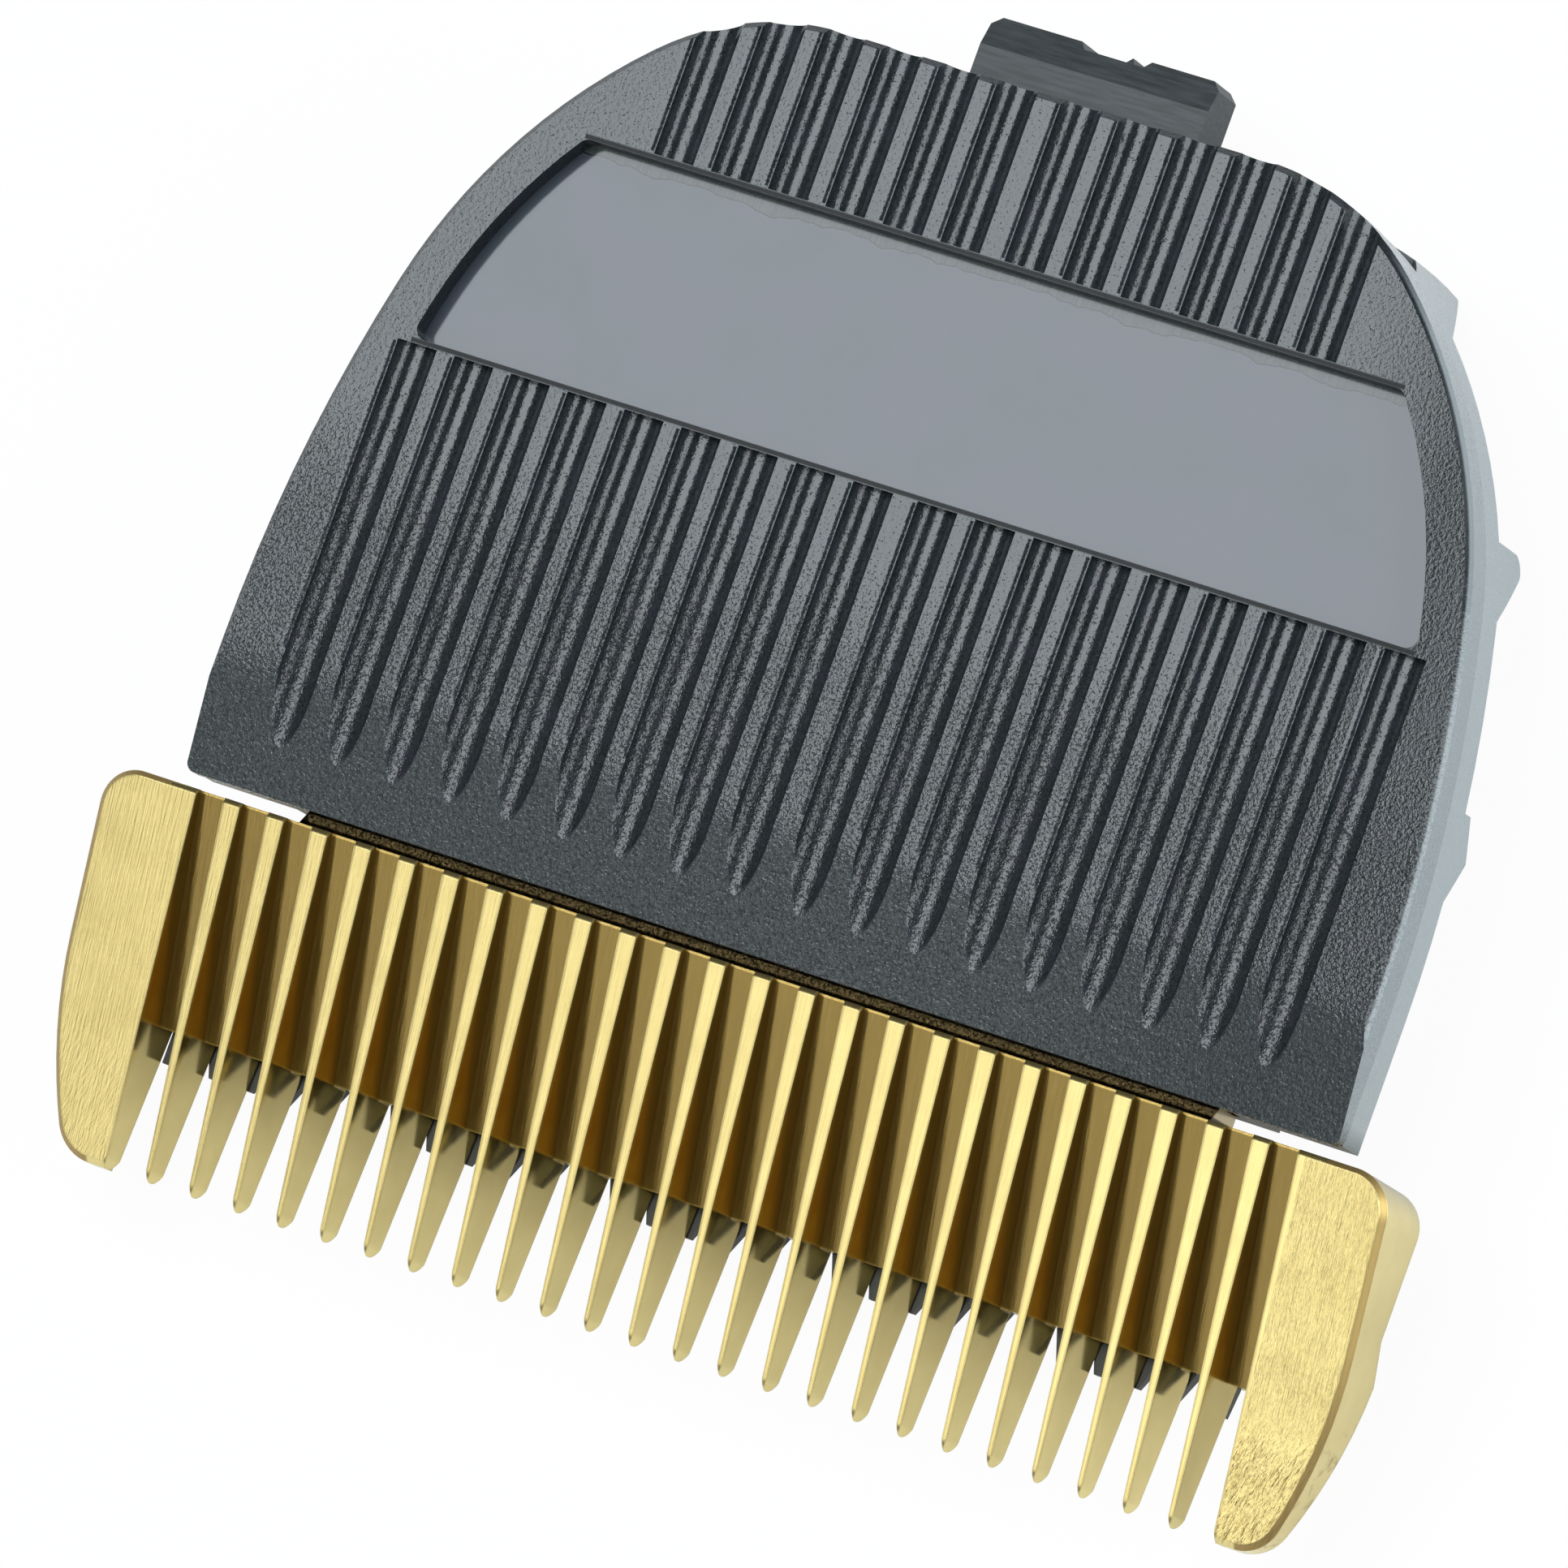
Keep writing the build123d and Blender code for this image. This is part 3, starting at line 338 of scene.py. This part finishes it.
def front_mask(tree, axes):
    """1 on the lands, the borders and the chin, 0 in the channels, in the panel and behind the front."""
    past = math_node(tree, "SUBTRACT", axes["Y"], CHIN_Y)
    drop = times(tree, math_node(tree, "MINIMUM", past, 0.0), CHIN_SLOPE)
    height = math_node(tree, "SUBTRACT", axes["Z"], drop)
    return math_node(tree, "GREATER_THAN", height, COVER_FRONT - CHIN_SKIN)


def face_bend(tree, axes, front):
    """Push for the normals of the front: bend to the chin, lips along the channels, dish at the right."""
    past = math_node(tree, "SUBTRACT", axes["Y"], CHIN_Y)
    along = times(tree, chin_bend(tree, past), front)
    dish = ramp(tree, axes["X"], DISH_START, DISH_END, 0.0, -DISH_SLOPE)
    across = times(tree, math_node(tree, "ADD", lip_bend(tree, axes), dish), front)
    return add_node(tree, "ShaderNodeCombineXYZ", X=across, Y=along).outputs["Vector"]


def pit_mask(tree, coords, axes):
    """1 in the fine pits of the spark texture, which thickens towards the chin; 0 between them."""
    level = ramp(tree, axes["Y"], *PIT_ROWS, *PIT_LEVELS)
    depth = math_node(tree, "SUBTRACT", level, noise(tree, coords, **PITS))
    return ramp(tree, depth, 0.0, PIT_EDGE)


def edge_shade_mask(tree, axes):
    """1 on the painted shade lines along the lower and upper edges of the panel, 0 elsewhere."""
    middle = (PANEL_BOTTOM_Y + PANEL_TOP_Y) / 2
    half = (PANEL_TOP_Y - PANEL_BOTTOM_Y) / 2 + EDGE_SHADE_HALF
    from_middle = math_node(tree, "ABSOLUTE", math_node(tree, "SUBTRACT", axes["Y"], middle))
    from_line = math_node(tree, "ABSOLUTE", math_node(tree, "SUBTRACT", from_middle, half))
    reach = ramp(tree, axes["Y"], PANEL_BOTTOM_Y, PANEL_TOP_Y, EDGE_SHADE_REACH, EDGE_SHADE_TOP_REACH)
    inside = math_node(tree, "LESS_THAN", math_node(tree, "ABSOLUTE", axes["X"]), reach)
    return times(tree, inside, ramp(tree, from_line, EDGE_SHADE_HALF + SOFT_EDGE, EDGE_SHADE_HALF - SOFT_EDGE))


def side_reflection_mask(tree, axes):
    """1 where painted reflection lightens the outer walls of the cover and most of its right rim, 0 elsewhere.
    """
    facing = split(tree, face_normal(tree))
    outward = times(tree, facing["X"], math_node(tree, "SIGN", axes["X"]))
    least = ramp(tree, axes["X"], *SIDE_LEAST_X, *SIDE_LEAST)
    turned = ramp(tree, math_node(tree, "SUBTRACT", outward, least), 0.0, TURN_EDGE)
    limit = ramp(tree, axes["Y"], PANEL_BOTTOM_Y, PANEL_BOTTOM_Y + SIDE_STEP, SIDE_X, SIDE_TOP_X)
    fade = ramp(tree, axes["Y"], PANEL_BOTTOM_Y, PANEL_BOTTOM_Y + SIDE_STEP, SIDE_SHARP, SIDE_FADE)
    beyond = math_node(tree, "SUBTRACT", math_node(tree, "ABSOLUTE", axes["X"]), limit)
    outside = math_node(tree, "DIVIDE", beyond, fade, clamp=True)
    rim = COVER_FRONT - RIM_LINE
    below_rim = ramp(tree, axes["Z"], rim + SOFT_EDGE, rim - SOFT_EDGE)
    sides = times(tree, turned, corner_mask(tree, axes), below_rim, outside)
    top = times(tree, ramp(tree, facing["Y"], *TOP_TURN), wall_mask(tree), ramp(tree, axes["Y"], *TOP_ROWS))
    return math_node(tree, "MAXIMUM", sides, top)


def film_mask(tree, coords, axes):
    """1 on the uneven film of glue along the upper edge of the panel, 0 elsewhere."""
    width = ramp(tree, noise(tree, coords, **FILM_WANDER), *WIDE, *FILM_WIDTH)
    above = math_node(tree, "SUBTRACT", axes["Y"], PANEL_TOP_Y)
    return ramp(tree, math_node(tree, "ADD", above, width), 0.0, FILM_EDGE)


def panel_colour(tree, coords, axes):
    """Smooth grey with faint clouds and a streaky film along the upper edge."""
    clouds = mix_colours(tree, ramp(tree, noise(tree, coords, **PANEL_CLOUDS), *CRISP), *PANEL_COLOURS)
    film = mix_colours(tree, ramp(tree, noise(tree, coords, **FILM_STREAKS), *CRISP), *FILM_COLOURS)
    covered = film_mask(tree, coords, axes)
    edge = times(tree, math_node(tree, "SUBTRACT", 1.0, covered), covered)
    filmed = mix_colours(tree, covered, clouds, film)
    return mix_colours(tree, ramp(tree, edge, 0.0, FILM_EDGE_SHARE), filmed, FILM_EDGE_COLOUR)


def land_colour(tree, axes, front, sparks, blotch):
    """Flecked charcoal with faint blotches, lighter on the chin."""
    flecks = ramp(tree, sparks, *CRISP)
    grain = mix_colours(tree, flecks, *COVER_GRAIN_COLOURS)
    patches = ramp(tree, blotch, *BLOTCH_LEVELS, 0.0, BLOTCH_SHARE)
    tinted = mix_colours(tree, patches, grain, COVER_BLOTCH_COLOUR)
    on_chin = times(tree, ramp(tree, axes["Y"], CHIN_Y + CHIN_EDGE, CHIN_Y - CHIN_EDGE), front)
    return mix_colours(tree, on_chin, tinted, mix_colours(tree, flecks, *CHIN_COLOURS))


def cover_normal(tree, axes, front, panel, sparks):
    """Bent normals of the front, with the spark texture on top; the panel stays smooth."""
    bent = add_node(tree, "ShaderNodeVectorMath", {"operation": "ADD"}, i0=face_normal(tree),
                    i1=face_bend(tree, axes, front))
    unit = add_node(tree, "ShaderNodeVectorMath", {"operation": "NORMALIZE"}, i0=bent.outputs["Vector"])
    coarse = times(tree, sparks, ramp(tree, axes["Y"], *SPARK_ROWS, *SPARK_HEIGHTS))
    height = mix_values(tree, panel, coarse, PLAIN_HEIGHT)
    return bump(tree, height, *SPARK_BUMP, Normal=unit.outputs["Vector"])


def cover_plastic():
    """Charcoal plastic with a fine spark texture; the recessed panel is smooth and glossy."""
    material, tree, shader, coords = new_material("cover_plastic")
    link = tree.links.new
    axes = split(tree, coords)
    panel = panel_mask(tree, axes)
    front = front_mask(tree, axes)
    sparks = noise(tree, coords, **SPARKS)
    blotch = noise(tree, coords, **COVER_BLOTCHES)
    pits = pit_mask(tree, coords, axes)
    edge_shade = edge_shade_mask(tree, axes)
    # painted shade in the pits and along the panel's upper and lower edges
    shade = math_node(tree, "MAXIMUM", edge_shade, times(tree, pits, PIT_SHADE))
    lands = mix_colours(tree, shade, land_colour(tree, axes, front, sparks, blotch), PAINTED_SHADE_COLOUR)
    # painted reflection lightens the outer walls and the right rim
    with_wall_reflection = mix_colours(tree, side_reflection_mask(tree, axes), lands, COVER_WALL_REFLECTION_COLOUR)
    link(mix_colours(tree, panel, with_wall_reflection, panel_colour(tree, coords, axes)), shader.inputs["Base Color"])
    dull = math_node(tree, "MAXIMUM", pits, edge_shade)
    gloss = mix_values(tree, dull, ramp(tree, blotch, *WIDE, *LAND_ROUGH), PIT_ROUGH)
    link(mix_values(tree, panel, gloss, PANEL_ROUGH), shader.inputs["Roughness"])
    link(cover_normal(tree, axes, front, panel, sparks), shader.inputs["Normal"])
    return material


def frame_plastic():
    """Satin charcoal plastic of the frame, with walls lightened by painted reflection; its hook is duller, with
    streaks along X.
    """
    material, tree, shader, coords = new_material("frame_plastic")
    link = tree.links.new
    axes = split(tree, coords)
    fine = noise(tree, coords, **FRAME_GRAIN)
    streaks = noise(tree, coords, **HOOK_STREAKS)
    hook = ramp(tree, axes["Y"], HOOK_Y - HOOK_EDGE, HOOK_Y)
    walls = times(tree, wall_mask(tree), corner_mask(tree, axes))
    # painted reflection lightens the upright walls
    with_wall_reflection = mix_colours(tree, walls, mix_colours(tree, fine, *FRAME_COLOURS), FRAME_WALL_REFLECTION_COLOUR)
    streaky = mix_colours(tree, ramp(tree, streaks, *CRISP), *HOOK_COLOURS)
    link(mix_colours(tree, hook, with_wall_reflection, streaky), shader.inputs["Base Color"])
    link(mix_values(tree, hook, ramp(tree, fine, *WIDE, *FRAME_ROUGH), HOOK_ROUGH), shader.inputs["Roughness"])
    link(bump(tree, mix_values(tree, hook, fine, streaks), *GRAIN_BUMP), shader.inputs["Normal"])
    return material


def ear_marks(tree, coords, axes):
    """Height of the ears' brushing: long fine lines, with short crossing scratches near the tips."""
    turned = add_node(tree, "ShaderNodeMapping", Vector=coords, Rotation=(0, 0, SCRATCH_TURN))
    near_tips = ramp(tree, axes["Y"], *TIP_ROWS)
    marks = mix_values(tree, near_tips, noise(tree, coords, **EAR_LINES),
                       noise(tree, turned.outputs["Vector"], **EAR_SCRATCHES))
    right_ear = ramp(tree, axes["X"], EAR_START - EAR_EDGE, EAR_START)
    left_ear = ramp(tree, axes["X"], -EAR_START, -EAR_START - EAR_EDGE, 0.0, LEFT_EAR_MARKS)
    shown = times(tree, math_node(tree, "MAXIMUM", right_ear, left_ear),
                  ramp(tree, near_tips, 0.0, 1.0, UPPER_EAR_MARKS, 1.0))
    return mix_values(tree, shown, PLAIN_HEIGHT, marks)


def slot_shade_mask(tree, axes):
    """1 on the walls and floors of the slots above the cutting zone, where painted shade browns the gold; 0 on
    the ridges, ears and tips.
    """
    sunk = math_node(tree, "ADD", axes["Z"], times(tree, axes["Y"], -CROWN_SLOPE))
    below = ramp(tree, sunk, CROWN_LEVEL - CROWN_SKIN[0], CROWN_LEVEL - CROWN_SKIN[1])
    above_cut = ramp(tree, axes["Y"], SLOT_END_Y - SLOT_EDGE, SLOT_END_Y + SLOT_EDGE)
    inside = ramp(tree, math_node(tree, "ABSOLUTE", axes["X"]), *SLOT_REACH)
    return times(tree, below, above_cut, inside)


def rim_mask(tree, axes):
    """1 on the chamfer along the outer edge of the ears, 0 elsewhere."""
    facing = split(tree, face_normal(tree))
    tilted = times(tree, ramp(tree, facing["Z"], *EAR_RIM_LOW), ramp(tree, facing["Z"], *EAR_RIM_HIGH))
    return times(tree, tilted, ramp(tree, math_node(tree, "ABSOLUTE", axes["X"]), *EAR_RIM_X))


def gold_colour(tree, coords, axes, marks, rim):
    """Gold with painted shade browning the slots and the ears' rim, browner in deep marks, and painted shade
    then a painted highlight on the crease behind the roots.
    """
    blotch = noise(tree, coords, **GOLD_BLOTCHES)
    plain = mix_colours(tree, ramp(tree, blotch, *WIDE), *GOLD_COLOURS)
    # painted shade browns the slots
    slot_shaded = mix_colours(tree, slot_shade_mask(tree, axes), plain, SLOT_SHADE_COLOUR)
    scored = mix_colours(tree, ramp(tree, marks, *SCORE_LEVELS, 0.0, SCORE_SHARE), slot_shaded, SCORE_COLOUR)
    # painted shade browns the ears' chamfer
    rim_shaded = mix_colours(tree, rim, scored, EAR_RIM_SHADE_COLOUR)
    # painted shade turning into a painted highlight across the crease behind the roots
    crease = mix_colours(tree, ramp(tree, axes["Y"], *CREASE_SHADE_TO_HIGHLIGHT_ROWS), *CREASE_SHADE_AND_HIGHLIGHT_COLOURS)
    behind_roots = ramp(tree, axes["Y"], ROOT_Y, ROOT_Y + NECK_EDGE)
    return mix_colours(tree, behind_roots, rim_shaded, crease)


def gold_steel():
    """Ground steel with a gold-coloured hard coating, brushed along the teeth."""
    material, tree, shader, coords = new_material("gold_steel")
    link = tree.links.new
    axes = split(tree, coords)
    lines = noise(tree, coords, **GOLD_LINES)
    marks = ear_marks(tree, coords, axes)
    rim = rim_mask(tree, axes)
    link(gold_colour(tree, coords, axes, marks, rim), shader.inputs["Base Color"])
    shader.inputs["Metallic"].default_value = 1.0
    gloss = ramp(tree, lines, *WIDE, *GOLD_ROUGH)
    link(mix_values(tree, rim, gloss, EAR_RIM_ROUGH), shader.inputs["Roughness"])
    brushed = bump(tree, lines, *BRUSHED_BUMP, Normal=soft_edges(tree, COMB_EDGE_RADIUS))
    link(bump(tree, marks, *MARKS_BUMP, Normal=brushed), shader.inputs["Normal"])
    return material


def bare_steel(name, colour, rough):
    """Plain steel with a faint drawn grain."""
    material, tree, shader, coords = new_material(name)
    shader.inputs["Metallic"].default_value = 1.0
    shader.inputs["Base Color"].default_value = colour
    grain = noise(tree, coords, **STEEL_GRAIN)
    tree.links.new(ramp(tree, grain, *WIDE, *rough), shader.inputs["Roughness"])
    return material


def black_steel():
    """Black coated steel of the moving blade."""
    material, tree, shader, coords = new_material("black_steel")
    fine = noise(tree, coords, **DARK_GRAIN)
    tree.links.new(mix_colours(tree, fine, *BLACK_COLOURS), shader.inputs["Base Color"])
    tree.links.new(ramp(tree, fine, *WIDE, *BLACK_ROUGH), shader.inputs["Roughness"])
    return material


def yoke_plastic():
    """Satin black plastic of the yoke."""
    material, tree, shader, coords = new_material("yoke_plastic")
    fine = noise(tree, coords, **DARK_GRAIN)
    tree.links.new(mix_colours(tree, fine, *YOKE_COLOURS), shader.inputs["Base Color"])
    tree.links.new(ramp(tree, fine, *WIDE, *YOKE_ROUGH), shader.inputs["Roughness"])
    tree.links.new(bump(tree, fine, *GRAIN_BUMP), shader.inputs["Normal"])
    return material


def dress_nodes():
    """Gives every CAD node its material."""
    wire = bare_steel("spring_wire", WIRE_COLOUR, WIRE_ROUGH)
    screw = bare_steel("screw_steel", SCREW_COLOUR, SCREW_ROUGH)
    finish = {
        "front_cover": cover_plastic(),
        "rear_frame": frame_plastic(),
        "fixed_blade": gold_steel(),
        "moving_blade": black_steel(),
        "drive_yoke": yoke_plastic(),
        "left_screw": screw,
        "right_screw": screw,
        "left_spring": wire,
        "right_spring": wire,
    }
    for name, material in finish.items():
        slots = nodes[name].data.materials
        slots.clear()
        slots.append(material)


def background_share(tree):
    """Part of the plain white that each kind of ray sees: the camera most, mirrored and refracted rays some."""
    path = add_node(tree, "ShaderNodeLightPath").outputs
    mirrored = math_node(tree, "MAXIMUM", path["Is Glossy Ray"], path["Is Transmission Ray"])
    seen = times(tree, path["Is Camera Ray"], SEEN_WHITE)
    return math_node(tree, "MAXIMUM", seen, times(tree, mirrored, MIRRORED_WHITE))


def make_floor():
    """Plain white floor that keeps a soft shadow."""
    half = FLOOR_HALF
    mesh = bpy.data.meshes.new("floor")
    corners = [(-half, -half, 0), (half, -half, 0), (half, half, 0), (-half, half, 0)]
    mesh.from_pydata(corners, [], [(0, 1, 2, 3)])
    floor = bpy.data.objects.new("floor", mesh)
    bpy.context.scene.collection.objects.link(floor)
    material = bpy.data.materials.new("floor_white")
    material.use_nodes = True
    tree = material.node_tree
    tree.nodes.remove(tree.nodes["Principled BSDF"])
    matt = add_node(tree, "ShaderNodeBsdfDiffuse", Color=FLOOR_MATT)
    glow = add_node(tree, "ShaderNodeEmission", Color=FLOOR_GLOW, Strength=1.0)
    mixed = add_node(tree, "ShaderNodeMixShader", i0=background_share(tree), i1=matt.outputs["BSDF"],
                     i2=glow.outputs["Emission"])
    tree.links.new(mixed.outputs["Shader"], tree.nodes["Material Output"].inputs["Surface"])
    mesh.materials.append(material)


def make_world():
    """Dim even surroundings, so that polished faces turned from the lamps go dark."""
    world = bpy.data.worlds.new("studio")
    bpy.context.scene.world = world
    world.use_nodes = True
    sky = world.node_tree.nodes["Background"]
    sky.inputs["Color"].default_value = WORLD_COLOUR
    sky.inputs["Strength"].default_value = WORLD_LEVEL


def soft_box(name, direction, width, height, level, colour):
    """Soft lamp that faces the middle of the part: width lies in the XZ plane, level is its brightness."""
    lamp = bpy.data.lights.new(name, "AREA")
    lamp.shape = "RECTANGLE"
    lamp.size = width
    lamp.size_y = height
    lamp.energy = level * pi * width * height
    lamp.color = colour
    holder = bpy.data.objects.new(name, lamp)
    bpy.context.scene.collection.objects.link(holder)
    back = Vector(direction).normalized()
    across = Vector((0, 1, 0)).cross(back).normalized()
    turn = Matrix((across, back.cross(across), back)).transposed().to_4x4()
    holder.matrix_world = Matrix.Translation(back * LAMP_DISTANCE) @ turn
    holder.visible_camera = False


def make_lights():
    """Hangs the studio's lamps."""
    for name, values in LAMPS.items():
        soft_box(name, *values)


def make_camera():
    """Camera at the place that was fitted to the photo."""
    data = bpy.data.cameras.new("camera")
    data.sensor_width = SENSOR
    data.lens = LENS
    camera = bpy.data.objects.new("camera", data)
    bpy.context.scene.collection.objects.link(camera)
    turn = Matrix((CAMERA_RIGHT, CAMERA_UP, CAMERA_BACK)).transposed().to_4x4()
    camera.matrix_world = Matrix.Translation(Vector(CAMERA_PLACE) * MM) @ turn
    bpy.context.scene.camera = camera


dress_nodes()
make_floor()
make_world()
make_lights()
make_camera()
bpy.context.scene.view_settings.view_transform = "Standard"
